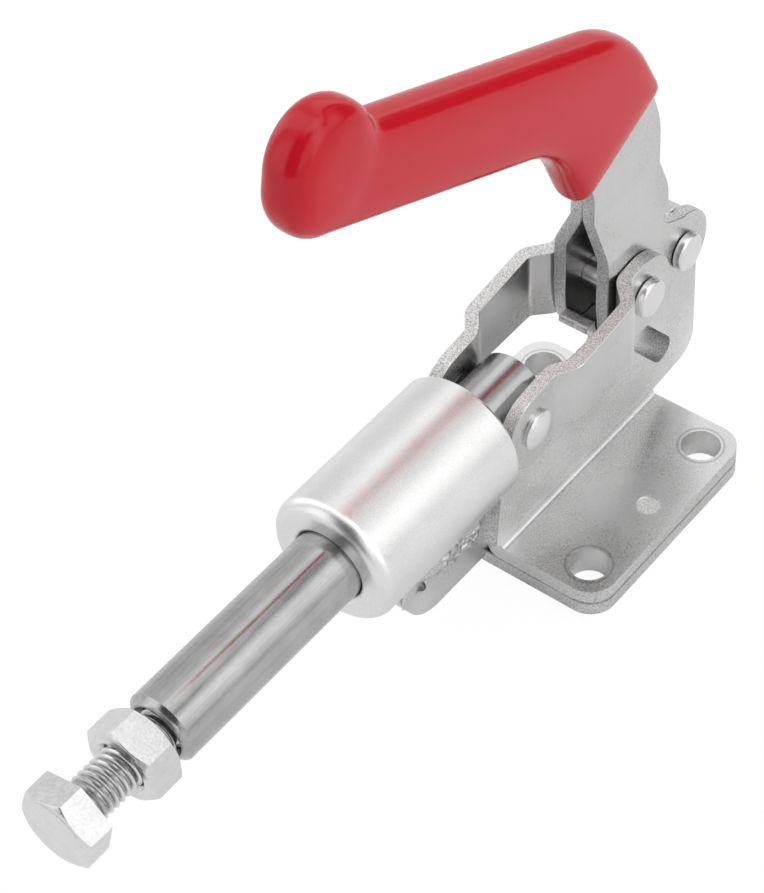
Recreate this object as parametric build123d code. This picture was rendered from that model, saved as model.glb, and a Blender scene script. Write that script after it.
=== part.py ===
from build123d import *
from math import asin, atan2, cos, hypot, radians, sin, sqrt, tan
import os

# A push-pull toggle clamp. Lengths are in millimetres and angles in degrees.
# X runs along the plunger towards its bolt head, Z is up from the mounting face, and Y is across
# the clamp. The origin is the centre of the four mounting holes on the underside of the base.

# ---- Mounting base and frame plates ---------------------------------------------------------
base_length = 46.5
base_width = 47.0
base_sheet = 3.0
base_corner_r = 5.0
hole_pitch_x = 34.5
hole_pitch_y = 35.0
hole_d = 7.2
spot_d = 4.3
spot_y = 18.0
spot_depth = 0.2
frame_sheet = 3.0
frame_bend_r = 1.0
web_top = 30.0
web_front_lean = 3.5
web_front_step = 1.3
column_rear = -36.0
column_rear_r = 5.0
column_heel_rise = 1.2
ear_r = 7.5
saddle_front = 8.0
saddle_low = -3.0
saddle_rear = -12.6
saddle_floor = 26.0
saddle_r = 4.0
saddle_throat_r = 1.2
horn_front = -2.5
horn_top = 38.8
horn_tip = 1.3
horn_width = 2.4
horn_r = 0.8
notch_front = -9.0
notch_floor = 33.3
notch_r = 4.0
foot_length = 24.5
foot_toe_r = 9.0
foot_front_r = 6.0
foot_front_rise = 10.0
window_width = 5.3
window_x = -25.6
window_z = 15.3
window_length = 13.0
window_slope = 50.8

# ---- Barrel and plunger ---------------------------------------------------------------------
axis_height = 38.0
barrel_d = 24.0
barrel_length = 35.0
barrel_rear = 28.7
barrel_nose_r = 4.6
barrel_mouth = 0.5
barrel_rim = 0.4
plunger_d = 13.0
plunger_rear = 14.2
plunger_length = 90.1
plunger_front_chamfer = 1.2
plunger_rear_chamfer = 0.4
running_gap = 0.05
weld_end_gap = 0.6
weld_toe = 16.0
weld_reach = 8.0
weld_hollow = 1.0

# ---- Spindle bolt and lock nut --------------------------------------------------------------
thread_d = 8.0
thread_bore_length = 32.0
bore_sink_width = 0.9
bore_sink_depth = 2.4
bolt_length = 44.0
bolt_reach = 17.3
head_across_flats = 13.0
head_thickness = 5.3
head_turn = 14.2
nut_across_flats = 13.0
nut_thickness = 6.5
nut_stand_off = 1.7
nut_turn = 37.6
nut_sink = 0.8

# ---- Pivots ---------------------------------------------------------------------------------
pivot_1_x = 20.5
pivot_2_x = -12.1
pivot_2_z = 42.2
pivot_3_x = -27.5
pivot_3_z = 39.9
pin_d = 5.4
pin_head_d = 7.2
pin_head_height = 1.7
pin_head_chamfer = 0.4
side_gap = 0.15

# ---- Toggle links ---------------------------------------------------------------------------
link_sheet = 2.5
link_end_r = 7.5
link_waist = 3.5
link_throat_r = 3.0
link_bow = 2.7
link_bend_r = 1.5
link_bow_front = 6.0
link_bow_rear = 9.1
link_ramp = 3.5
plunger_side_gap = 0.3

# ---- Handle plates --------------------------------------------------------------------------
handle_sheet = 2.5
handle_ear_r = 7.5
handle_belly = 12.5
handle_belly_rear = 5.5
handle_belly_front = 2.0
handle_belly_r = 4.0
handle_spread_z = 53.0
handle_spread_rise = 7.0
handle_bend_r = 2.0
neck_front = -5.5
neck_rear = -24.5
neck_corner_z = 50.4
neck_top_z = 66.0

# ---- Hand grip ------------------------------------------------------------------------------
grip_thickness = 8.8
grip_edge_r = 3.8
grip_front_x = 58.2
grip_front_z = 114.5
grip_end_r = 8.1
grip_back_slope = 21.4
grip_back_length = 76.1
grip_back_r = 42.0
grip_heel_slope = 62.9
grip_heel_length = 18.5
grip_palm_slope = 23.0
grip_palm_length = 61.0
grip_throat_r = 28.0
grip_throat_slope = 67.7
grip_throat_length = 17.6
grip_lip_r = 1.5
thumb_back = 1.9
thumb_rise = 2.9
thumb_r = 9.3
thumb_nape_r = 3.0
thumb_thickness = 9.4
thumb_edge_r = 4.1
coat_inset = 2.6


def outline(*corners):
    """A closed face through (u, v, radius) corners, each rounded by an arc that its two sides can hold."""
    points = [Vector(u, v) for u, v, r in corners]
    count = len(points)
    ends = []
    for i in range(count):
        here = points[i]
        if corners[i][2] == 0:
            ends.append((here, here, here))
            continue
        back = points[i - 1] - here
        onward = points[(i + 1) % count] - here
        half = radians(back.get_angle(onward)) / 2
        room = 0.49 * min(back.length, onward.length)
        setback = min(corners[i][2] / tan(half), room)
        middle = (back.normalized() + onward.normalized()).normalized()
        radius = setback * tan(half)
        ends.append((here + back.normalized() * setback,
                     here + middle * (radius / sin(half) - radius),
                     here + onward.normalized() * setback))
    edges = []
    for i in range(count):
        start, middle, stop = ends[i]
        if corners[i][2] > 0:
            edges.append(ThreePointArc(start, middle, stop))
        edges.append(Line(stop, ends[(i + 1) % count][0]))
    return make_face(edges)


def folded(path, thickness, inside_r):
    """The section of a folded sheet on the left of its path, or on the right if thickness is negative."""
    points = [Vector(u, v) for u, v in path]
    ways = [(b - a).normalized() for a, b in zip(points, points[1:])]
    sides = [Vector(-way.Y, way.X) for way in ways]
    near = []
    other = []
    for i, point in enumerate(points):
        before = sides[max(i - 1, 0)]
        after = sides[min(i, len(sides) - 1)]
        middle = (before + after).normalized()
        far = point + middle * (thickness / middle.dot(before))
        turn = before.X * after.Y - before.Y * after.X
        outside_r = inside_r + abs(thickness)
        if abs(turn) < 1e-9:
            near_r, far_r = 0, 0
        elif turn * thickness > 0:
            near_r, far_r = outside_r, inside_r
        else:
            near_r, far_r = inside_r, outside_r
        near.append((point.X, point.Y, near_r))
        other.append((far.X, far.Y, far_r))
    return outline(*near, *reversed(other))


def slab(sketch, y_from, y_to):
    """An XZ outline made solid from one Y to a larger one."""
    return extrude(Plane.XZ.offset(-y_from) * sketch, amount=y_from - y_to)


def cross_hole(x, z, diameter):
    return slab(Pos(x, z) * Circle(diameter / 2), -base_width, base_width)


def along_x(profile):
    """A profile of (x, radius) corners turned about the plunger's axis."""
    plane = Plane(origin=(0, 0, axis_height), x_dir=(1, 0, 0), z_dir=(0, -1, 0))
    return revolve(plane * outline(*profile), Axis((0, 0, axis_height), (1, 0, 0)))


def along_y(x, z, profile):
    """A profile of (y, radius) corners turned about a pivot's axis."""
    plane = Plane(origin=(x, 0, z), x_dir=(0, 1, 0), z_dir=(1, 0, 0))
    return revolve(plane * outline(*profile), Axis((x, 0, z), (0, 1, 0)))


def mirrored(shape):
    return mirror(shape, about=Plane.XZ)


def tangent_from(x, z, centre_x, centre_z, r, side):
    """The point where a line from (x, z) touches a circle, on its left (+1) or right (-1)."""
    span = hypot(centre_x - x, centre_z - z)
    angle = atan2(centre_z - z, centre_x - x) + side * asin(r / span)
    reach = sqrt(span * span - r * r)
    return x + reach * cos(angle), z + reach * sin(angle)


# ---- Sizes that follow ----------------------------------------------------------------------
flange_low = base_sheet
flange_top = base_sheet + frame_sheet
bend_top = flange_top + frame_bend_r
base_front = base_length / 2
foot_front = base_front + foot_length
barrel_r = barrel_d / 2
barrel_front = barrel_rear + barrel_length
plunger_r = plunger_d / 2
plunger_front = plunger_rear + plunger_length
pin_hole_d = pin_d + 2 * running_gap
handle_inner = frame_sheet + side_gap
handle_outer = handle_inner + handle_sheet
link_rear_inner = handle_outer + side_gap
link_rear_outer = link_rear_inner + link_sheet
link_front_inner = plunger_r + plunger_side_gap
link_front_outer = link_front_inner + link_sheet
link_bow_inner = link_front_inner + link_bow


# ---- Base plate and the two frame plates ------------------------------------------------------
def base_holes(low, high):
    hole = extrude(Plane.XY.offset(low) * Circle(hole_d / 2), amount=high - low)
    return [Pos(sx * hole_pitch_x / 2, sy * hole_pitch_y / 2) * hole for sx in (-1, 1) for sy in (-1, 1)]


def frame_plate(front_corners):
    """The left-hand plate: an upright web, with a flange folded outwards onto the base plate."""
    web = outline(
        *front_corners,
        (saddle_front, web_top, saddle_r),
        (saddle_low, saddle_floor, saddle_r),
        (saddle_rear, saddle_floor, saddle_throat_r),
        (horn_front, horn_top - horn_tip, horn_r),
        (horn_front, horn_top, horn_r),
        (horn_front - horn_width, horn_top, horn_r),
        (notch_front, notch_floor, notch_r),
        (pivot_3_x + ear_r, notch_floor, notch_r),
        (pivot_3_x + ear_r, pivot_3_z + ear_r, ear_r * 0.98),
        (pivot_3_x - 2, pivot_3_z + ear_r, ear_r),
        (column_rear, pivot_3_z + 1, ear_r),
        (column_rear, bend_top + column_heel_rise, column_rear_r),
        (-base_front, bend_top, 0),
    )
    upright = slab(web, 0, frame_sheet)
    fold = folded([(0, bend_top + 1), (0, flange_low), (base_width / 2, flange_low)], frame_sheet, frame_bend_r)
    flange = extrude(Plane.YZ.offset(-base_front) * fold, amount=base_length)
    corners = outline(
        (-base_front, -1, 0), (base_front, -1, 0),
        (base_front, base_width / 2, base_corner_r), (-base_front, base_width / 2, base_corner_r),
    )
    flange = flange & extrude(Plane.XY * corners, amount=bend_top)
    spot = Pos(0, spot_y, flange_top - spot_depth) * Cylinder(spot_d / 2, frame_sheet, align=(
        Align.CENTER, Align.CENTER, Align.MIN))
    plate = upright + flange - spot - cross_hole(pivot_3_x, pivot_3_z, pin_hole_d)
    for hole in base_holes(0, bend_top):
        plate = plate - hole
    return plate


rounded_base = outline(
    (-base_front, -base_width / 2, base_corner_r), (base_front, -base_width / 2, base_corner_r),
    (base_front, base_width / 2, base_corner_r), (-base_front, base_width / 2, base_corner_r),
)
base_plate = extrude(rounded_base, amount=base_sheet)
for hole in base_holes(0, base_sheet):
    base_plate = base_plate - hole

web_front = base_front + web_front_step
frame_plate_left = frame_plate([
    (web_front, bend_top, 0.5),
    (web_front - web_front_lean, web_top, 3),
])
middle = Pos(window_x, window_z) * Rot(0, 0, window_slope) * Pos(window_length / 2, 0)
frame_plate_left = frame_plate_left - slab(
    middle * SlotCenterToCenter(window_length, window_width), -frame_sheet, 2 * frame_sheet)

# The right-hand web runs on under the barrel, down to the level of the flange's underside.
barrel_space = along_x([
    (barrel_rear, 0, 0), (barrel_front, 0, 0), (barrel_front, barrel_r, 0), (barrel_rear, barrel_r, 0),
])
frame_plate_right = mirrored(frame_plate([
    (base_front, flange_low, 0),
    (foot_front - 5, flange_low, foot_toe_r),
    (foot_front, flange_low + foot_front_rise, foot_front_r),
    (foot_front, web_top, 0),
])) - barrel_space

# ---- Barrel with its two weld fillets, and the frame's pivot pin ------------------------------
guide_barrel = along_x([
    (barrel_rear, plunger_r + running_gap, 0),
    (barrel_front - barrel_mouth, plunger_r + running_gap, 0),
    (barrel_front, plunger_r + running_gap + barrel_mouth, 0),
    (barrel_front, barrel_r, barrel_nose_r),
    (barrel_rear + barrel_rim, barrel_r, 0),
    (barrel_rear, barrel_r - barrel_rim, 0),
])


def weld(face_y):
    """A weld fillet on the +Y side, from the web's face up to the barrel, hollow in between."""
    touch_z = axis_height - sqrt(barrel_r ** 2 - weld_reach ** 2)
    toe_z = axis_height - barrel_r - weld_toe
    inside_z = axis_height - barrel_r / 2
    slope = atan2(touch_z - toe_z, weld_reach - face_y)
    section = make_face([
        ThreePointArc(
            (weld_reach, touch_z),
            ((weld_reach + face_y) / 2 - weld_hollow * sin(slope), (touch_z + toe_z) / 2 + weld_hollow * cos(slope)),
            (face_y, toe_z)),
        Polyline((face_y, toe_z), (face_y, inside_z), (weld_reach, inside_z), (weld_reach, touch_z)),
    ])
    return extrude(Plane.YZ.offset(barrel_rear) * section, amount=foot_front - weld_end_gap - barrel_rear) - barrel_space


barrel_weld_left = weld(0)
barrel_weld_right = mirrored(weld(frame_sheet))


def headed_pin(x, z, under_head):
    """A rivet with a flat chamfered head on both sides."""
    head_r = pin_head_d / 2
    outer = under_head + pin_head_height
    return along_y(x, z, [
        (-outer, 0, 0), (outer, 0, 0), (outer, head_r - pin_head_chamfer, 0),
        (outer - pin_head_chamfer, head_r, 0), (under_head, head_r, 0), (under_head, pin_d / 2, 0),
        (-under_head, pin_d / 2, 0), (-under_head, head_r, 0), (pin_head_chamfer - outer, head_r, 0),
        (-outer, head_r - pin_head_chamfer, 0),
    ])


frame_pin = headed_pin(pivot_3_x, pivot_3_z, handle_outer + side_gap)

# ---- Plunger and its cross pin ----------------------------------------------------------------
plunger = along_x([
    (plunger_rear, 0, 0), (plunger_front, 0, 0),
    (plunger_front, plunger_r - plunger_front_chamfer, 0), (plunger_front - plunger_front_chamfer, plunger_r, 0),
    (plunger_rear + plunger_rear_chamfer, plunger_r, 0), (plunger_rear, plunger_r - plunger_rear_chamfer, 0),
])
shank = slab(Pos(pivot_1_x, axis_height) * Circle(pin_d / 2), -plunger_r, plunger_r)
plunger_pin = shank & plunger
bore_r = thread_d / 2 + running_gap
thread_bore = along_x([
    (plunger_front - thread_bore_length, 0, 0), (plunger_front, 0, 0), (plunger_front, bore_r + bore_sink_width, 0),
    (plunger_front - bore_sink_depth, bore_r, 0), (plunger_front - thread_bore_length, bore_r, 0),
])
plunger = plunger - cross_hole(pivot_1_x, axis_height, pin_hole_d) - thread_bore


# ---- Spindle bolt and lock nut ----------------------------------------------------------------
def hexagon(x, thickness, across_flats, turn, chamfer_front, chamfer_rear):
    """A hexagonal prism along X, its corners turned down at the chamfered ends."""
    corner_r = across_flats / 2 / cos(radians(30))
    rim = corner_r - across_flats / 2
    drop = rim * tan(radians(30)) * 1.4
    prism = extrude(Plane((x, 0, axis_height), (0, 1, 0), (1, 0, 0)) * Rot(0, 0, turn)
                    * RegularPolygon(corner_r, 6), amount=thickness)
    low_r = corner_r - rim * 1.4
    turned = along_x([
        (x, 0, 0), (x + thickness, 0, 0),
        (x + thickness, low_r if chamfer_front else corner_r + 1, 0),
        (x + thickness - (drop if chamfer_front else 0), corner_r + 0.01 if chamfer_front else corner_r + 1.2, 0),
        (x + (drop if chamfer_rear else 0), corner_r + 0.01 if chamfer_rear else corner_r + 1.2, 0),
        (x, low_r if chamfer_rear else corner_r + 1, 0),
    ])
    return prism & turned


bolt_seat = plunger_front + bolt_reach
bolt_head = hexagon(bolt_seat, head_thickness, head_across_flats, head_turn, True, False)
bolt_shank = along_x([
    (bolt_seat - bolt_length, 0, 0), (bolt_seat, 0, 0), (bolt_seat, thread_d / 2, 0),
    (bolt_seat - bolt_length + 1, thread_d / 2, 0), (bolt_seat - bolt_length, thread_d / 2 - 1, 0),
])
spindle_bolt = bolt_head + bolt_shank

nut_rear = plunger_front + nut_stand_off
nut_front = nut_rear + nut_thickness
nut_bore = along_x([
    (nut_rear, 0, 0), (nut_front, 0, 0), (nut_front, bore_r + nut_sink, 0), (nut_front - nut_sink, bore_r, 0),
    (nut_rear + nut_sink, bore_r, 0), (nut_rear, bore_r + nut_sink, 0),
])
lock_nut = hexagon(nut_rear, nut_thickness, nut_across_flats, nut_turn, True, True) - nut_bore

# ---- Toggle links ---------------------------------------------------------------------------
# Seen from above, each link runs close to the handle plate at the rear, bows out in the middle and
# comes back in beside the plunger. Its outline is two round ends joined by a waist.
span = hypot(pivot_1_x - pivot_2_x, axis_height - pivot_2_z)
up_x = (pivot_2_z - axis_height) / span
up_z = (pivot_1_x - pivot_2_x) / span
waist_x = pivot_1_x
waist_z = axis_height - link_waist
touch_x, touch_z = tangent_from(waist_x, waist_z, pivot_2_x, pivot_2_z, link_end_r, 1)
waist = make_face(Polyline(
    (pivot_1_x + up_x * link_end_r, axis_height + up_z * link_end_r),
    (pivot_2_x + up_x * link_end_r, pivot_2_z + up_z * link_end_r),
    (pivot_2_x, pivot_2_z), (touch_x, touch_z), (waist_x, waist_z), close=True))
link_outline = (Pos(pivot_1_x, axis_height) * Circle(link_end_r)
                + Pos(pivot_2_x, pivot_2_z) * Circle(link_end_r) + waist)
throat = link_outline.vertices().sort_by_distance((pivot_1_x - link_end_r, waist_z))[0]
link_outline = fillet(throat, link_throat_r)

bow_front = pivot_1_x - link_bow_front
bow_rear = pivot_2_x + link_bow_rear
link_fold = folded([
    (pivot_1_x + 2 * link_end_r, link_front_inner), (bow_front, link_front_inner),
    (bow_front - link_ramp, link_bow_inner), (bow_rear, link_bow_inner),
    (bow_rear - link_ramp, link_rear_inner), (pivot_2_x - 2 * link_end_r, link_rear_inner),
], -link_sheet, link_bend_r)
link_left = (extrude(Plane.XY * link_fold, amount=2 * axis_height)
             & slab(link_outline, 0, link_bow_inner + 2 * link_sheet))
link_left = link_left - cross_hole(pivot_1_x, axis_height, pin_hole_d) - cross_hole(pivot_2_x, pivot_2_z, pin_hole_d)
link_right = mirrored(link_left)

head_r = pin_head_d / 2
dome = ThreePointArc(
    (link_front_outer + pin_head_height, 0),
    (link_front_outer + pin_head_height * 0.8, head_r * 0.6),
    (link_front_outer + pin_head_height * 0.35, head_r))
rivet_edges = Polyline(
    (link_front_outer + pin_head_height * 0.35, head_r), (link_front_outer, head_r),
    (link_front_outer, pin_d / 2), (link_front_inner, pin_d / 2), (link_front_inner, 0),
    (link_front_outer + pin_head_height, 0))
rivet_plane = Plane(origin=(pivot_1_x, 0, axis_height), x_dir=(0, 1, 0), z_dir=(1, 0, 0))
link_rivet_left = revolve(rivet_plane * make_face([dome, rivet_edges]), Axis((pivot_1_x, 0, axis_height), (0, 1, 0)))
link_rivet_right = mirrored(link_rivet_left)

# ---- Hand grip outline ------------------------------------------------------------------------
back_x = cos(radians(grip_back_slope))
back_z = sin(radians(grip_back_slope))
palm_x = cos(radians(grip_palm_slope))
palm_z = sin(radians(grip_palm_slope))
back_front = (grip_front_x - grip_end_r * back_z, grip_front_z + grip_end_r * back_x)
palm_front = (grip_front_x + grip_end_r * palm_z, grip_front_z - grip_end_r * palm_x)
heel = (back_front[0] - grip_back_length * back_x, back_front[1] - grip_back_length * back_z)
throat = (palm_front[0] - grip_palm_length * palm_x, palm_front[1] - grip_palm_length * palm_z)
lip_rear = (heel[0] - grip_heel_length * cos(radians(grip_heel_slope)),
            heel[1] - grip_heel_length * sin(radians(grip_heel_slope)))
lip_front = (throat[0] - grip_throat_length * cos(radians(grip_throat_slope)),
             throat[1] - grip_throat_length * sin(radians(grip_throat_slope)))
grip_bar = outline(
    (*back_front, 0), (*heel, grip_back_r), (*lip_rear, grip_lip_r),
    (*lip_front, grip_lip_r), (*throat, grip_throat_r), (*palm_front, 0), (grip_front_x, grip_front_z, 0),
)
front_end = Pos(grip_front_x, grip_front_z) * Circle(grip_end_r)
grip_bar = grip_bar + front_end
thumb_top = Pos(grip_front_x - thumb_back, grip_front_z + thumb_rise) * Circle(thumb_r)
thumb = make_hull([*front_end.edges(), *thumb_top.edges()])
grip_outline = grip_bar + thumb
nape = grip_outline.vertices().sort_by_distance((grip_front_x - thumb_back - thumb_r, grip_front_z + thumb_rise))[0]
grip_outline = fillet(nape, thumb_nape_r)

# ---- Handle plates ----------------------------------------------------------------------------
# The two plates straddle the frame at the pivots and close up together in the neck, and the grip
# covers them from the neck's top to the front end.
core = offset(grip_bar, amount=-coat_inset)
neck = outline(
    (pivot_2_x + handle_ear_r, pivot_2_z, 0),
    (neck_front, neck_top_z, 8),
    (throat[0] - coat_inset, throat[1], 12),
    (throat[0] - coat_inset, throat[1] + 12, 1),
    (lip_rear[0] + coat_inset + 2, lip_rear[1] + 6, 4),
    (neck_rear, neck_top_z + 4, 20),
    (neck_rear, neck_corner_z + 6, 4),
    (pivot_3_x + 6.7, neck_corner_z, 2),
    (pivot_3_x, pivot_3_z + handle_ear_r, 0),
    (pivot_3_x, pivot_3_z, 0),
)
belly = outline(
    (pivot_2_x, pivot_2_z + 4, 0),
    (pivot_3_x, pivot_3_z + 4, 0),
    (pivot_3_x, pivot_3_z - handle_ear_r, 0),
    (pivot_2_x - handle_belly_rear, pivot_2_z - handle_belly, handle_belly_r),
    (pivot_2_x + handle_belly_front, pivot_2_z - handle_belly, handle_belly_r),
    (pivot_2_x + handle_ear_r - 0.6, pivot_2_z - 7, 7),
    (pivot_2_x + handle_ear_r, pivot_2_z, 0),
)
handle_outline = (Pos(pivot_2_x, pivot_2_z) * Circle(handle_ear_r)
                  + Pos(pivot_3_x, pivot_3_z) * Circle(handle_ear_r) + belly + neck + core)
handle_fold = folded([
    (handle_inner, 0), (handle_inner, handle_spread_z),
    (0, handle_spread_z + handle_spread_rise), (0, 2 * grip_front_z),
], -handle_sheet, handle_bend_r)
handle_plate_left = (extrude(Plane.YZ.offset(-2 * base_length) * handle_fold, amount=5 * base_length)
                     & slab(handle_outline, 0, 2 * handle_outer))
handle_plate_left = (handle_plate_left - cross_hole(pivot_2_x, pivot_2_z, pin_hole_d)
                     - cross_hole(pivot_3_x, pivot_3_z, pin_hole_d))
handle_plate_right = mirrored(handle_plate_left)
link_pin = headed_pin(pivot_2_x, pivot_2_z, link_rear_outer + side_gap)

# ---- Hand grip --------------------------------------------------------------------------------
grip_body = slab(grip_outline, -grip_thickness / 2, grip_thickness / 2)
grip_body = fillet(grip_body.edges().filter_by(Axis.Y, reverse=True), grip_edge_r)
thumb_body = slab(thumb, -thumb_thickness / 2, thumb_thickness / 2)
thumb_body = fillet(thumb_body.edges().filter_by(GeomType.CIRCLE), thumb_edge_r)
hand_grip = grip_body + thumb_body - handle_plate_left - handle_plate_right

# ---- Files ------------------------------------------------------------------------------------
nodes = {
    "base_plate": base_plate,
    "frame_plate_left": frame_plate_left,
    "frame_plate_right": frame_plate_right,
    "guide_barrel": guide_barrel,
    "barrel_weld_left": barrel_weld_left,
    "barrel_weld_right": barrel_weld_right,
    "frame_pin": frame_pin,
    "plunger": plunger,
    "plunger_pin": plunger_pin,
    "spindle_bolt": spindle_bolt,
    "lock_nut": lock_nut,
    "link_left": link_left,
    "link_right": link_right,
    "link_rivet_left": link_rivet_left,
    "link_rivet_right": link_rivet_right,
    "handle_plate_left": handle_plate_left,
    "handle_plate_right": handle_plate_right,
    "link_pin": link_pin,
    "hand_grip": hand_grip,
}
os.makedirs("parts", exist_ok=True)
for name, shape in nodes.items():
    export_step(shape, f"parts/{name}.step")
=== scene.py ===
# %% [markdown]
# # A push-pull toggle clamp, dressed from its solid model
# The clamp's solid model arrives finished: every plate, pin and bolt is in its true place and at its
# true size. This notebook gives those solids their real surfaces and adds what a solid model leaves
# out: broken edges, a screw thread, the weld's beads and the soft skin of the dipped grip.
# Everything is in metres. X runs along the plunger, Z is up, and the clamp stands on Z = 0.

# %% Load the solid model
import math

import bmesh
import bpy
from mathutils import Matrix, Vector


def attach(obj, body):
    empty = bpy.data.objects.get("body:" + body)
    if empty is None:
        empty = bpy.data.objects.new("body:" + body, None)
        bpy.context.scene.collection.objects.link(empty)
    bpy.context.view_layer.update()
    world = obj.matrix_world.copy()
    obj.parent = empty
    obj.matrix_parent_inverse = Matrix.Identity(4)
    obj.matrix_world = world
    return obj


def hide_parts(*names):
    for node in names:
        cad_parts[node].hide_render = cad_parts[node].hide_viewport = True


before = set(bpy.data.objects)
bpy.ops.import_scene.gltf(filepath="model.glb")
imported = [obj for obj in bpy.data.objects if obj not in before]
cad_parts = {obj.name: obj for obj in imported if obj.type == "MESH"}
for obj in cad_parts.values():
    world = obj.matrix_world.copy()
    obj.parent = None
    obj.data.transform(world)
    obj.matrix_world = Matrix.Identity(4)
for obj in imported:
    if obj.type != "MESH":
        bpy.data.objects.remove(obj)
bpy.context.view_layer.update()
mm = 0.001
frame_axis_height = 38 * mm
print("plunger axis, mm above the base:", frame_axis_height / mm)

# %% [markdown]
# ## The camera
# A long lens from high on the bolt's left keeps the perspective small, as in a catalogue picture. A
# camera looks along its own -Z with +Y up, so its matrix is made from three directions: its right,
# the opposite of its down, and the opposite of where it looks.

# %% Camera
right = Vector((-0.623043, 0.779988, -0.058622))
down = Vector((0.595918, 0.424791, -0.681494))
forward = Vector((-0.506655, -0.459534, -0.729472))
eye = Vector((0.255655, 0.187821, 0.350530))
image_width = 764
focal_pixels = 2600

lens = bpy.data.cameras.new("camera")
lens.sensor_fit = "HORIZONTAL"
lens.sensor_width = 36
lens.lens = focal_pixels * lens.sensor_width / image_width
camera = bpy.data.objects.new("camera", lens)
bpy.context.scene.collection.objects.link(camera)
camera.matrix_world = Matrix.Translation(eye) @ Matrix((right, -down, -forward)).transposed().to_4x4()
bpy.context.scene.camera = camera
print("lens, mm:", round(lens.lens, 1))

# %% [markdown]
# ## Writing node trees as sums
# Materials and Geometry Nodes are both trees of nodes, and most of a tree is arithmetic. One small
# class wraps a node's output and gives it Python's operators, so that `1 - wear * 0.4` adds the Math
# nodes by itself. Any other node comes from one method, which takes its type, its settings and its
# inputs.


# %% Sockets that can be added and multiplied
class Socket:
    """A node's output that can be used like a number."""

    def __init__(self, tree, output):
        self.tree = tree
        self.output = output

    def __add__(self, other):
        return self.tree.math("ADD", self, other)

    def __sub__(self, other):
        return self.tree.math("SUBTRACT", self, other)

    def __mul__(self, other):
        return self.tree.math("MULTIPLY", self, other)

    def __truediv__(self, other):
        return self.tree.math("DIVIDE", self, other)

    def __rsub__(self, other):
        return self.tree.math("SUBTRACT", other, self)

    def __rtruediv__(self, other):
        return self.tree.math("DIVIDE", other, self)

    __radd__ = __add__
    __rmul__ = __mul__

    def least(self, other):
        return self.tree.math("MINIMUM", self, other)

    def most(self, other):
        return self.tree.math("MAXIMUM", self, other)

    def absolute(self):
        return self.tree.math("ABSOLUTE", self)

    def sine(self):
        return self.tree.math("SINE", self)

    def cosine(self):
        return self.tree.math("COSINE", self)

    def rise(self, low, high):
        """0 below low, 1 above high, and a smooth rise between."""
        return self.tree.node("ShaderNodeMapRange", {"interpolation_type": "SMOOTHSTEP"},
                              {"Value": self, "From Min": low, "From Max": high})["Result"]


class Made:
    """A node that has been added. Its outputs are reached by name."""

    def __init__(self, tree, node):
        self.tree = tree
        self.node = node

    def __getitem__(self, name):
        found = [s for s in self.node.outputs if s.name == name and s.enabled]
        return Socket(self.tree, found[0])


class Tree:
    """A tree of nodes, and the few ways used here to add to it."""

    def __init__(self, nodes):
        self.nodes = nodes

    def feed(self, socket, value):
        if isinstance(value, Socket):
            self.nodes.links.new(value.output, socket)
        else:
            socket.default_value = value

    def node(self, kind, settings=None, inputs=None):
        made = self.nodes.nodes.new(kind)
        for name, value in (settings or {}).items():
            setattr(made, name, value)
        for name, value in (inputs or {}).items():
            if isinstance(name, int):
                self.feed(made.inputs[name], value)
            else:
                self.feed([s for s in made.inputs if s.name == name and s.enabled][0], value)
        return Made(self, made)

    def math(self, operation, *values):
        return self.node("ShaderNodeMath", {"operation": operation}, dict(enumerate(values)))["Value"]

    def vector(self, x, y, z):
        return self.node("ShaderNodeCombineXYZ", {}, {"X": x, "Y": y, "Z": z})["Vector"]

    def split(self, vector):
        parts = self.node("ShaderNodeSeparateXYZ", {}, {"Vector": vector})
        return parts["X"], parts["Y"], parts["Z"]


print("socket operators ready")

# %% [markdown]
# ## A finish
# A finish is a material with a Principled shader. What is the same all over is set on the shader's
# own sockets. What changes over the surface is a sum of noises on the piece's own coordinates, so a
# scratch stays where it is when the handle turns.


# %% The material class
class Finish(Tree):
    """A material for one slot. Its constants are the shader's own values."""

    def __init__(self, name, slot, **constants):
        self.material = bpy.data.materials.new(name)
        self.material.use_nodes = True
        self.slot = slot
        super().__init__(self.material.node_tree)
        self.shader = self.nodes.nodes["Principled BSDF"]
        for socket, value in constants.items():
            self.shader.inputs[socket.replace("_", " ")].default_value = value
        self.place = self.node("ShaderNodeTexCoord")["Object"]

    def noise(self, size, detail=3.0, stretch=(1, 1, 1), rough=0.5):
        """Noise whose lumps are about `size` metres across, longer where `stretch` is above 1."""
        spot = self.node("ShaderNodeMapping", {}, {
            "Vector": self.place, "Scale": tuple(1 / s for s in stretch)})["Vector"]
        return self.node("ShaderNodeTexNoise", {}, {
            "Vector": spot, "Scale": 1 / size, "Detail": detail, "Roughness": rough})["Fac"]

    def tint(self, tone, warm=0.0):
        """A metal's grey with a trace of warmth."""
        return self.node("ShaderNodeCombineColor", {}, {
            "Red": tone * (1 + warm), "Green": tone, "Blue": tone * (1 - warm)})["Color"]

    def blend(self, factor, low, high):
        mixed = self.node("ShaderNodeMix", {"data_type": "RGBA"}, {0: factor, 6: low, 7: high})
        return Socket(self, mixed.node.outputs[2])

    def bump(self, height, strength, distance):
        return self.node("ShaderNodeBump", {}, {
            "Strength": strength, "Distance": distance, "Height": height})["Normal"]

    def set(self, **links):
        for name, value in links.items():
            self.feed(self.shader.inputs[name.replace("_", " ")], value)


print("finish class ready")

# %% [markdown]
# ## Dressing a solid
# The solids come as loose triangles with knife-sharp edges. A real stamping has a small broken edge
# that catches the light, so each rigid piece is copied, its triangles are joined into clean flat
# faces, and a Bevel modifier turns every sharp edge. Weighted normals then keep the large faces flat
# to the eye and let only the narrow bevels curve. The copy stands in for the solid.


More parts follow.
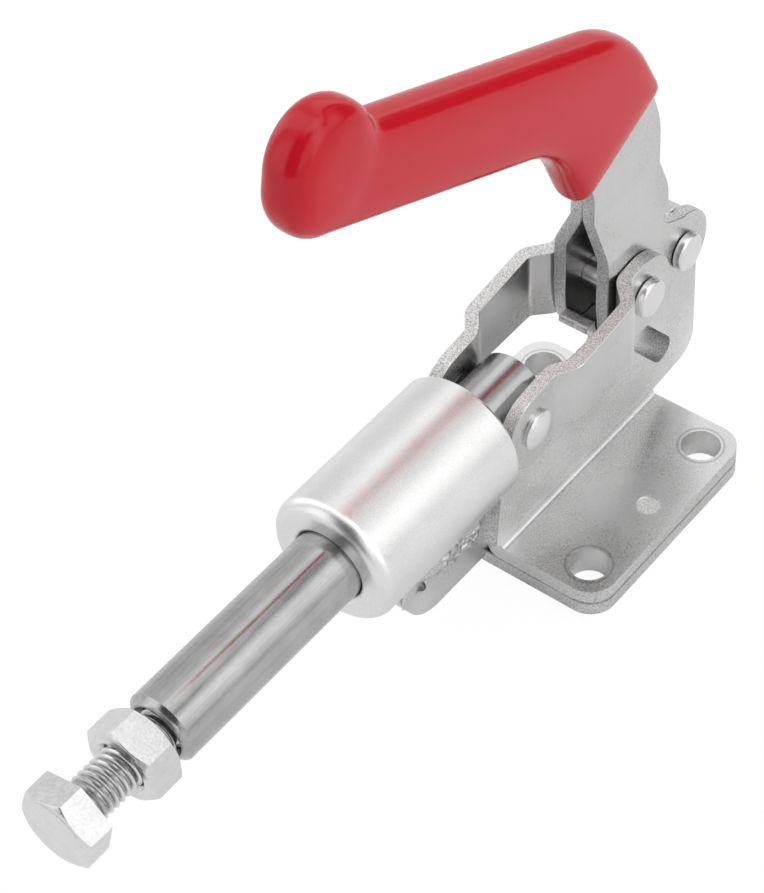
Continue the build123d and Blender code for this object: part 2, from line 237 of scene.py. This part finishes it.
# %% A clean copy with broken edges
def clean_copy(node, name):
    """A copy of a solid whose loose triangles are joined into clean flat faces."""
    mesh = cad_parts[node].data.copy()
    mesh.name = name
    work = bmesh.new()
    work.from_mesh(mesh)
    bmesh.ops.remove_doubles(work, verts=work.verts, dist=2e-6)
    bmesh.ops.dissolve_limit(work, angle_limit=math.radians(0.4), verts=work.verts, edges=work.edges)
    work.to_mesh(mesh)
    work.free()
    mesh.materials.clear()
    piece = bpy.data.objects.new(name, mesh)
    bpy.context.scene.collection.objects.link(piece)
    return piece


def baked(piece):
    """Turns the piece's modifiers into plain mesh."""
    view = bpy.context.evaluated_depsgraph_get()
    mesh = bpy.data.meshes.new_from_object(piece.evaluated_get(view))
    piece.modifiers.clear()
    piece.data = mesh
    return piece


def broken_edges(piece, width):
    """Bevels every edge sharper than 30 degrees and keeps the large faces flat to the eye."""
    piece.data.shade_smooth()
    bevel = piece.modifiers.new("edges", "BEVEL")
    bevel.width = width
    bevel.segments = 2
    bevel.limit_method = "ANGLE"
    bevel.angle_limit = math.radians(30)
    bevel.use_clamp_overlap = True
    weighted = piece.modifiers.new("normals", "WEIGHTED_NORMAL")
    weighted.mode = "FACE_AREA"
    weighted.weight = 90
    weighted.thresh = 0.01
    return baked(piece)


def stand_in(piece, finish, body, *nodes):
    """Shows a piece in place of one or more solids, and lets it move with their body."""
    piece.data.materials.clear()
    piece.data.materials.append(finish.material)
    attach(piece, body)
    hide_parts(*nodes)


def dress(node, finish, body, width):
    """A clean copy of a solid, with broken edges and a finish, in the solid's place."""
    piece = broken_edges(clean_copy(node, "dressed_" + node), width)
    print(piece.name, "faces:", len(piece.data.polygons))
    stand_in(piece, finish, body, node)
    return piece


# %% [markdown]
# ## Zinc plate on sheet steel
# Zinc plate is a bright satin with faint cloudy patches. The sheared edges of a stamping are torn
# rather than smooth, so each face gets a number, 0 on the sheet and 1 on a cut edge, and the shader
# makes the cut edges rough and speckled.


# %% Zinc sheet
seam_height, seam_half_width = 3 * mm, 0.45 * mm
hole_place = (17.25 * mm, 17.5 * mm)
# radii of a ring of painted shade round each bolt hole
rim_shade_inside, rim_shade_crest, rim_shade_outside = 3.9 * mm, 4.2 * mm, 4.6 * mm
spot_weld_y = 18 * mm
spot_weld_rim = (1.8 * mm, 2.5 * mm)
foot_surface = (5.4 * mm, 5.7 * mm)


def zinc_sheet(name, tone, rough, patchy=0.10, foot=False):
    """Zinc plate on sheet steel. The foot also has a seam, spot welds and punched holes."""
    zinc = Finish(name, "zinc_sheet", Metallic=1.0)
    cut = zinc.node("ShaderNodeAttribute", {"attribute_name": "cut_edge"})["Fac"]
    cloud = zinc.noise(13 * mm, 2)
    mottle = zinc.noise(0.55 * mm, 3, rough=0.6)
    speckle = zinc.noise(0.24 * mm, 3, rough=0.75).rise(0.38, 0.60)
    shade = (cloud - 0.5) * (2.0 * patchy) + (mottle - 0.5) * patchy + tone
    shade = shade + cut * (speckle * 0.44 - 0.24)
    height = mottle * (1 - cut) * 0.5 + cut * speckle
    dull = cut * 0.12
    if foot:
        x, y, z = zinc.split(zinc.place)
        # painted shade: a dark line is painted on the cut edges where the stacked sheets meet, 3 mm up
        seam = (1 - (z - seam_height).absolute() / seam_half_width).most(0) * cut
        aside = y.absolute() - spot_weld_y
        reach = zinc.math("SQRT", x * x + aside * aside)
        spot = (1 - reach.rise(*spot_weld_rim)) * z.rise(*foot_surface)
        # painted reflection: the walls of the bolt holes are painted brighter
        hole_wall_light = zinc.node("ShaderNodeAttribute", {"attribute_name": "hole_wall"})["Fac"]
        across, along = x.absolute() - hole_place[0], y.absolute() - hole_place[1]
        ring = zinc.math("SQRT", across * across + along * along)
        # painted shade: a dark ring is painted on the rim round each bolt hole
        rim_shade = ring.rise(rim_shade_inside, rim_shade_crest) * (1 - ring.rise(rim_shade_crest, rim_shade_outside)) * (1 - cut)
        shade = shade - seam * 0.45 - rim_shade * 0.22 + spot * (speckle * 0.5 - 0.16) + hole_wall_light * 0.30
        height = height + spot * speckle
        dull = dull + spot * 0.15 + hole_wall_light * 0.10
    zinc.set(Base_Color=zinc.tint(shade, 0.002),
             Roughness=(cloud - 0.5) * 0.16 + (mottle - 0.5) * 0.16 + rough + dull,
             Normal=zinc.bump(height, 0.30, 0.08 * mm))
    return zinc


def mark_faces(piece, name, rule):
    """Gives each face a number for the shader, 1 where the rule holds and 0 elsewhere."""
    layer = piece.data.attributes.new(name, "FLOAT", "FACE")
    values = [float(rule(p.center, p.normal)) for p in piece.data.polygons]
    layer.data.foreach_set("value", values)
    print(piece.name, name, "faces:", int(sum(values)), "of", len(values))


sheet = zinc_sheet("zinc_sheet", 0.63, 0.30)
foot_sheet = zinc_sheet("zinc_sheet_foot", 0.68, 0.28, 0.18, True)
print("sheet finishes:", sheet.material.name, foot_sheet.material.name)

# %% [markdown]
# ## Which faces are cut edges
# The plates stand upright, so a face that looks neither left nor right is a cut edge. The base and
# its flanges lie flat, so there a cut edge looks sideways. The walls of the bolt holes are left out:
# they are marked apart, and the foot's finish paints them brighter as a painted reflection.

# %% Plates and links
flange_top = 6.3 * mm
web_side = 3.05 * mm
hole_reach = 4.0 * mm


def in_a_hole(centre):
    return math.hypot(abs(centre.x) - hole_place[0], abs(centre.y) - hole_place[1]) < hole_reach


def hole_wall(centre, normal):
    return abs(normal.z) < 0.9 and in_a_hole(centre)


def upright_cut(centre, normal):
    return abs(normal.y) < 0.35


def flat_cut(centre, normal):
    return abs(normal.z) < 0.5 and not in_a_hole(centre)


def frame_cut(centre, normal):
    if centre.z < flange_top and abs(centre.y) > web_side:
        return flat_cut(centre, normal) and abs(centre.y) > 2 * web_side
    return upright_cut(centre, normal) and abs(centre.y) < web_side


for node, finish, body, rule in [
        ("base_plate", foot_sheet, "frame", flat_cut),
        ("frame_plate_left", foot_sheet, "frame", frame_cut),
        ("frame_plate_right", foot_sheet, "frame", frame_cut),
        ("handle_plate_left", sheet, "handle", upright_cut),
        ("handle_plate_right", sheet, "handle", upright_cut),
        ("link_left", sheet, "links", upright_cut), ("link_right", sheet, "links", upright_cut)]:
    piece = dress(node, finish, body, 0.28 * mm)
    mark_faces(piece, "cut_edge", rule)
    if finish is foot_sheet:
        mark_faces(piece, "hole_wall", hole_wall)

# %% [markdown]
# ## Barrel
# The barrel is turned from bar and plated, so it has a fine even grain all round and no cut edges.

# %% Barrel
barrel_zinc = Finish("barrel_zinc", "zinc_barrel", Metallic=1.0)
grain = barrel_zinc.noise(0.30 * mm, 3, rough=0.6)
ring = barrel_zinc.noise(0.5 * mm, 2, stretch=(1, 30, 30))
cloud = barrel_zinc.noise(9 * mm, 3)
barrel_zinc.set(
    Base_Color=barrel_zinc.tint((cloud - 0.5) * 0.12 + (grain - 0.5) * 0.24 + 0.82, 0.002),
    Roughness=grain * 0.12 + cloud * 0.06 + 0.22,
    Normal=barrel_zinc.bump(grain * 0.8 + ring * 0.2, 0.55, 0.07 * mm))
dress("guide_barrel", barrel_zinc, "frame", 0.3 * mm)

# %% [markdown]
# ## Weld
# Each weld is a run of molten lumps, bright and uneven, with a pit where the arc broke off. The plain
# fillet is remeshed finely, and a Geometry Nodes tree lifts its skin: stretched noise makes the lumps,
# and a faint wave, bent by the same noise, repeats along the run.


# %% A Geometry Nodes tree with named inputs
class Recipe(Tree):
    """A Geometry Nodes tree. Its inputs are named, and it ends in Realize Instances and Set Material."""

    def __init__(self, name, with_shape, **sizes):
        self.group = bpy.data.node_groups.new(name, "GeometryNodeTree")
        self.group.is_modifier = True
        self.sizes = sizes
        super().__init__(self.group)
        if with_shape:
            self.group.interface.new_socket("Shape", in_out="INPUT", socket_type="NodeSocketGeometry")
        for size in sizes:
            self.group.interface.new_socket(size, in_out="INPUT", socket_type="NodeSocketFloat")
        self.group.interface.new_socket("Shape", in_out="OUTPUT", socket_type="NodeSocketGeometry")
        self.given = self.node("NodeGroupInput")

    def finish(self, shape, finish):
        """Ends the tree: the instances become real mesh, and it takes its material."""
        solid = self.node("GeometryNodeRealizeInstances", {}, {"Geometry": shape})["Geometry"]
        dressed = self.node("GeometryNodeSetMaterial", {}, {
            "Geometry": solid, "Material": finish.material})
        self.node("NodeGroupOutput", {}, {0: dressed["Geometry"]})

    def run(self, piece):
        """Gives the piece the shape that the tree makes, with the named sizes as its inputs."""
        modifier = piece.modifiers.new(self.group.name, "NODES")
        modifier.node_group = self.group
        for item in self.group.interface.items_tree:
            if item.in_out == "INPUT" and item.name in self.sizes:
                modifier[item.identifier] = float(self.sizes[item.name])
        baked(piece)


print("recipe class ready")

# %% Weld skin
bead_low, bead_rear, bead_width = 10.6 * mm, 28.7 * mm, 9 * mm
bead_climb = 0.28
bead_low_edge, bead_high_edge = 1.2 * mm, 3 * mm
bead_front = (39.5 * mm, 43.5 * mm)
crater_place = (42.3 * mm, 0.6 * mm, 12.3 * mm)
crater_r = 1.5 * mm


def on_bead(x, z):
    """1 where the molten run lies, just under the barrel. It climbs and fades towards its front end."""
    up = z - (bead_low + (x - bead_rear) * bead_climb)
    across = up.rise(0, bead_low_edge) * (1 - up.rise(bead_width - bead_high_edge, bead_width))
    return across * (1 - x.rise(*bead_front))


def in_crater(tree, x, y, z):
    """1 in the pit where the arc broke off."""
    gaps = [value - centre for value, centre in zip((x, y.absolute(), z), crater_place)]
    reach = tree.math("SQRT", gaps[0] * gaps[0] + gaps[1] * gaps[1] + gaps[2] * gaps[2])
    return 1 - (reach / crater_r).rise(0.4, 1)


weld_metal = Finish("weld_metal", "zinc_barrel", Metallic=1.0)
x, y, z = weld_metal.split(weld_metal.place)
run = on_bead(x, z)
# painted shade: the crater is also painted much darker than the weld around it
pit = in_crater(weld_metal, x, y, z)
lump = weld_metal.noise(0.9 * mm, 4, stretch=(3.0, 1, 1), rough=0.65)
spatter = weld_metal.noise(0.45 * mm, 3, rough=0.7).rise(0.42, 0.62)
tone = (lump - 0.52) * run * 1.4 + (spatter - 0.4) * (run * 0.2 + 0.06) + 0.70 - pit * 0.6
weld_metal.set(
    Base_Color=weld_metal.tint(tone, 0.002),
    Roughness=lump * 0.16 + 0.22,
    Normal=weld_metal.bump(lump * 0.6 + spatter * 0.4, 0.35, 0.12 * mm))

ripples = Recipe("weld_ripples", True, Height=1.6 * mm, Spacing=2.3 * mm, Lump=1.5 * mm, Swell=1.0 * mm,
                 Pit=1.3 * mm)
given = ripples.given
place = ripples.node("GeometryNodeInputPosition")["Position"]
normal = ripples.node("GeometryNodeInputNormal")["Normal"]
x, y, z = ripples.split(place)
stretched = ripples.vector((x + z) * 0.30, y, z)
bend = ripples.node("ShaderNodeTexNoise", {}, {
    "Vector": stretched, "Scale": 1 / given["Lump"], "Detail": 4.0, "Roughness": 0.6})["Fac"]
turn, slant = 6.283, 1400
wave = (x / given["Spacing"] * turn + bend * 8 + z * slant).sine() * 0.07 + bend * 1.7 - 0.75
run = on_bead(x, z)
lift = (wave * given["Height"] + given["Swell"]) * run - in_crater(ripples, x, y, z) * given["Pit"]
offset = ripples.node("ShaderNodeVectorMath", {"operation": "SCALE"}, {
    "Vector": normal, "Scale": lift})["Vector"]
raised = ripples.node("GeometryNodeSetPosition", {}, {
    "Geometry": given["Shape"], "Offset": offset})["Geometry"]
ripples.finish(raised, weld_metal)

for node in ("barrel_weld_left", "barrel_weld_right"):
    bead = clean_copy(node, "bead_" + node)
    skin = bead.modifiers.new("skin", "REMESH")
    skin.mode = "VOXEL"
    skin.voxel_size = 0.28 * mm
    ripples.run(baked(bead))
    bead.data.shade_smooth()
    stand_in(bead, weld_metal, "frame", node)
    print(bead.name, "faces:", len(bead.data.polygons))

# %% [markdown]
# ## Plunger
# The plunger is ground bar, darker and smoother than the plated parts. One noise is stretched forty
# times along X: partly the long faint marks that sliding in its barrel has drawn along it, and partly
# painted reflection, the long light and dark streaks that the round bar reflects.

# %% Plunger
ground = Finish("ground_steel", "ground_steel", Metallic=1.0)
drawn_marks_and_reflections = ground.noise(1.0 * mm, 4, stretch=(40, 1, 1), rough=0.6)
fine = ground.noise(0.5 * mm, 3, stretch=(6, 1, 1), rough=0.6)
cloud = ground.noise(7 * mm, 3)
# partly painted reflection: the long streaks stand for reflected streaks as well as drawn marks
tone = (drawn_marks_and_reflections - 0.5) * 0.17 + (cloud - 0.5) * 0.22 + (fine - 0.5) * 0.12 + 0.46
ground.set(
    Base_Color=ground.tint(tone, 0.002),
    Roughness=drawn_marks_and_reflections * 0.10 + fine * 0.06 + 0.12,
    Normal=ground.bump(drawn_marks_and_reflections * 0.7 + fine * 0.3, 0.25, 0.05 * mm))
dress("plunger", ground, "plunger", 0.2 * mm)

# %% [markdown]
# ## Pins and rivets
# The heads were pressed into shape, which left them a little dull, with a fine even grain.

# %% Pins and rivets
rivet = Finish("rivet_zinc", "rivet_steel", Metallic=1.0)
fine = rivet.noise(0.5 * mm, 4, rough=0.6)
cloud = rivet.noise(2.5 * mm, 3)
rivet.set(
    Base_Color=rivet.tint(fine * 0.06 + cloud * 0.06 + 0.72, 0.002),
    Roughness=fine * 0.10 + cloud * 0.06 + 0.22,
    Normal=rivet.bump(fine * 0.4 + cloud * 0.6, 0.15, 0.05 * mm))
for node, body in [("frame_pin", "frame"), ("link_pin", "handle"), ("plunger_pin", "plunger"),
                   ("link_rivet_left", "links"), ("link_rivet_right", "links")]:
    dress(node, rivet, body, 0.22 * mm)

# %% [markdown]
# ## Thread
# A thread is one V-shaped ridge wound about a core. Geometry Nodes starts from a flat grid: its long
# way is wound round and round, its short way is one pitch of the profile, and the far edge of one
# turn lands on the near edge of the next, where they are merged. The ridge fades at both ends. The
# bottom of the thread is painted darker, as painted shade, but not the face of the bolt's head.

# %% Thread tree
bolt_seat = 121.6 * mm
bright = Finish("bright_zinc", "bright_zinc", Metallic=1.0)
fine = bright.noise(0.5 * mm, 3)
cloud = bright.noise(3 * mm, 4, rough=0.6)
x, y, z = bright.split(bright.place)
height = z - frame_axis_height
# painted shade: the bottom of the thread is painted darker, except on the face of the bolt's head
root_shade = 1 - bright.math("SQRT", y * y + height * height).rise(3.3 * mm, 3.8 * mm)
root_shade = root_shade * (1 - x.rise(bolt_seat - 0.2 * mm, bolt_seat))
bright.set(
    Base_Color=bright.tint((fine - 0.5) * 0.16 + (cloud - 0.5) * 0.22 + 0.73 - root_shade * 0.32),
    Roughness=fine * 0.10 + cloud * 0.10 + 0.13,
    Normal=bright.bump(fine * 0.4 + cloud * 0.6, 0.25, 0.07 * mm))

thread = Recipe("thread", False, Start=78 * mm, Length=44 * mm, Pitch=1.25 * mm, Crest=3.97 * mm,
                Depth=0.66 * mm, Steps=40, Axis=frame_axis_height)
given = thread.given
turns = given["Length"] / given["Pitch"] - 1
strip = thread.node("GeometryNodeMeshGrid", {}, {
    "Size X": 1.0, "Size Y": 1.0, "Vertices X": turns * given["Steps"] + 1, "Vertices Y": 9})["Mesh"]
spot = thread.split(thread.node("GeometryNodeInputPosition")["Position"])
across, along = spot[0] + 0.5, spot[1]
angle = across * turns * (2 * math.pi)
half_foot, flank = 0.375, 0.3125
ridge = ((half_foot - along.absolute()) / flank).least(1).most(0)
fade = (across.least(1 - across) * turns).least(1).most(0)
radius = given["Crest"] - given["Depth"] * (1 - ridge * fade)
wound = thread.vector(given["Start"] + (across * turns + along + 0.5) * given["Pitch"],
                      radius * angle.cosine(), given["Axis"] + radius * angle.sine())
placed = thread.node("GeometryNodeSetPosition", {}, {"Geometry": strip, "Position": wound})["Geometry"]
merged = thread.node("GeometryNodeMergeByDistance", {}, {
    "Geometry": placed, "Distance": 1e-6})["Geometry"]
thread.finish(merged, bright)
print("thread inputs:", sorted(thread.sizes))

# %% [markdown]
# ## Bolt and nut
# The bolt is its plain solid with the shank taken off and the thread put in its place. The hexagons
# keep sharp bright facets, so their edges are broken only a little.


# %% Bolt
def closed_outwards(work):
    """Fills the open rims and turns every face outwards."""
    bmesh.ops.holes_fill(work, edges=[e for e in work.edges if e.is_boundary], sides=0)
    bmesh.ops.recalc_face_normals(work, faces=work.faces)


bolt = clean_copy("spindle_bolt", "threaded_bolt")
shank_r = 4.1 * mm
head = bmesh.new()
head.from_mesh(bolt.data)
shank = [v for v in head.verts if math.hypot(v.co.y, v.co.z - frame_axis_height) < shank_r]
seat = max(v.co.x for v in shank)
tip = min(v.co.x for v in shank)
bmesh.ops.delete(head, geom=[f for f in head.faces if all(v in shank for v in f.verts)], context="FACES")
bmesh.ops.delete(head, geom=[v for v in head.verts if not v.link_faces], context="VERTS")
closed_outwards(head)
head.to_mesh(bolt.data)
head.free()
broken_edges(bolt, 0.14 * mm)
print("bolt seat and tip, mm:", round(seat / mm, 2), round(tip / mm, 2))

# %% Thread on the bolt
thread.sizes.update(Start=tip, Length=seat - tip + 0.4 * mm)
ridge_piece = bpy.data.objects.new("thread_ridge", bpy.data.meshes.new("thread_ridge"))
bpy.context.scene.collection.objects.link(ridge_piece)
thread.run(ridge_piece)
both = bmesh.new()
both.from_mesh(ridge_piece.data)
closed_outwards(both)
both.to_mesh(ridge_piece.data)
both.free()
ridge_piece.data.shade_smooth()
ridge_piece.data.set_sharp_from_angle(angle=math.radians(50))
print("thread faces:", len(ridge_piece.data.polygons))
stand_in(bolt, bright, "spindle", "spindle_bolt")
stand_in(ridge_piece, bright, "spindle", "spindle_bolt")
dress("lock_nut", bright, "spindle", 0.14 * mm)

# %% [markdown]
# ## Grip
# The grip is made by dipping the handle in red vinyl, so it has no sharp edge and a thick glossy
# skin. A voxel remesh makes one even skin of the solid, a few smoothing passes melt its edges as the
# liquid does, and a clear coat over a slightly wavy red gives the long soft highlights.

# %% Grip
red_vinyl = Finish("red_vinyl", "red_dip", Roughness=0.20, IOR=1.38, Coat_Weight=0.05,
                   Coat_Roughness=0.05)
wave = red_vinyl.noise(16 * mm, 2)
fleck = red_vinyl.noise(1.2 * mm, 3)
red_vinyl.set(
    Base_Color=red_vinyl.blend(wave, (0.52, 0.004, 0.014, 1), (0.59, 0.006, 0.019, 1)),
    Normal=red_vinyl.bump(wave * 0.9 + fleck * 0.02, 0.15, 0.4 * mm))
grip = clean_copy("hand_grip", "dipped_grip")
skin = grip.modifiers.new("skin", "REMESH")
skin.mode = "VOXEL"
skin.voxel_size = 0.45 * mm
baked(grip)
flat_side = 3.9 * mm
sides = grip.vertex_groups.new(name="flat sides")
sides.add([v.index for v in grip.data.vertices if abs(v.co.y) > flat_side], 1.0, "REPLACE")
level_sides = grip.modifiers.new("level sides", "SMOOTH")
level_sides.vertex_group = "flat sides"
level_sides.use_x = level_sides.use_z = False
level_sides.factor = 0.5
level_sides.iterations = 120
melt = grip.modifiers.new("melt", "SMOOTH")
melt.factor = 0.5
melt.iterations = 10
baked(grip)
grip.vertex_groups.clear()
grip.data.shade_smooth()
stand_in(grip, red_vinyl, "handle", "hand_grip")
print("grip faces:", len(grip.data.polygons))

# %% [markdown]
# ## Floor
# The clamp stands on white paper. The paper is white to the camera and keeps a faint shadow, and
# metal that faces it shows it as a pale even tone.

# %% Floor
floor_mesh = bpy.data.meshes.new("floor")
floor_mesh.from_pydata([(-3, -3, 0), (3, -3, 0), (3, 3, 0), (-3, 3, 0)], [], [(0, 1, 2, 3)])
floor = bpy.data.objects.new("floor", floor_mesh)
bpy.context.scene.collection.objects.link(floor)
floor.location.z = -0.2 * mm
paper_material = bpy.data.materials.new("white_paper")
paper_material.use_nodes = True
paper = Tree(paper_material.node_tree)
paper.nodes.nodes.remove(paper.nodes.nodes["Principled BSDF"])
matt = paper.node("ShaderNodeBsdfDiffuse", {}, {"Color": (0.90, 0.90, 0.90, 1)})["BSDF"]
glow = paper.node("ShaderNodeEmission", {}, {"Strength": 1.04})["Emission"]
seen = paper.node("ShaderNodeLightPath")["Is Camera Ray"] * 0.88
shown = paper.node("ShaderNodeMixShader", {}, {0: seen, 1: matt, 2: glow})["Shader"]
paper.feed(paper.nodes.nodes["Material Output"].inputs["Surface"], shown)
floor_mesh.materials.append(paper_material)
print("floor at, mm:", round(floor.location.z / mm, 2))

# %% [markdown]
# ## Room
# The room round the clamp is a ring of panels, told apart by how far round the plunger they stand,
# from the left (0 degrees) up over the top (90) to the right (180). A broad bright panel stands on the
# left, a narrow dark beam crosses overhead and a second bright panel follows it. Three dark gaps,
# before and above the bolt and behind the handle, give the grip its deep red. A last panel crosses
# the room from side to side: no broad face shows it, but it brightens the floor and broken edges.

# %% Room
room_level = 0.72
world = bpy.data.worlds.new("studio")
bpy.context.scene.world = world
world.use_nodes = True
room = Tree(world.node_tree)


def band(value, low, high, soft):
    """1 between low and high, with soft edges."""
    return value.rise(low - soft, low + soft) * (1 - value.rise(high - soft, high + soft))


x, y, z = room.split(room.node("ShaderNodeTexCoord")["Generated"])
round_bar = room.math("ARCTAN2", z, y) * (180 / math.pi)
slant = (x + 0.46).most(-0.12).least(0.10) * 220
crossing = round_bar + slant
left_panel = band(round_bar, 14, 66, 10)
right_panel = band(crossing, 88, 114, 6)
front_panel = x.rise(0.45, 0.60) * band(y, -0.80, -0.34, 0.05)
beam = band(crossing, 70, 86, 3) * (0 - x).rise(0.15, 0.30)
horizon = band(round_bar, -12, 4, 5)
before_bolt = x.rise(0.25, 0.45) * band(y, -0.28, 0.50, 0.05)
over_bolt = x.rise(0.05, 0.15) * band(y, 0.10, 0.45, 0.06) * z.rise(0.4, 0.6)
behind_handle = (0 - x).rise(0.64, 0.84) * band(y, 0.0, 0.80, 0.15)
cross_panel = band(x, -0.26, 0.20, 0.05)
level = left_panel * 0.45 + right_panel * 0.70 + front_panel * 0.60 + cross_panel * 0.80 + room_level
level = level * (1 - beam * 0.97) * (1 - horizon * 0.2)
level = level * (1 - before_bolt.most(over_bolt) * 0.92) * (1 - behind_handle * 0.90)
walls = room.node("ShaderNodeBackground", {}, {"Color": (1, 1, 1, 1), "Strength": level})["Background"]
white = room.node("ShaderNodeBackground", {}, {"Color": (1, 1, 1, 1)})["Background"]
seen = room.node("ShaderNodeLightPath")["Is Camera Ray"]
shown = room.node("ShaderNodeMixShader", {}, {0: seen, 1: walls, 2: white})["Shader"]
room.feed(room.nodes.nodes["World Output"].inputs["Surface"], shown)
print("room level:", room_level)


# %% Lamp
def softbox(name, direction, distance, width, height, brightness):
    """A lamp turned to the clamp. Brightness is what a mirror would show, where 1 is white."""
    lamp = bpy.data.lights.new(name, "AREA")
    lamp.shape = "RECTANGLE"
    lamp.size, lamp.size_y = width, height
    lamp.energy = brightness * math.pi * width * height
    holder = bpy.data.objects.new(name, lamp)
    bpy.context.scene.collection.objects.link(holder)
    aim = Vector((0.03, 0, 0.05))
    holder.location = aim + Vector(direction).normalized() * distance
    holder.rotation_euler = (holder.location - aim).to_track_quat("Z", "Y").to_euler()
    print(name, "watts:", round(lamp.energy, 2))


softbox("left", (-0.45, 0.62, 0.64), 0.9, 0.5, 0.4, 0.2)
bpy.context.scene.view_settings.view_transform = "Standard"
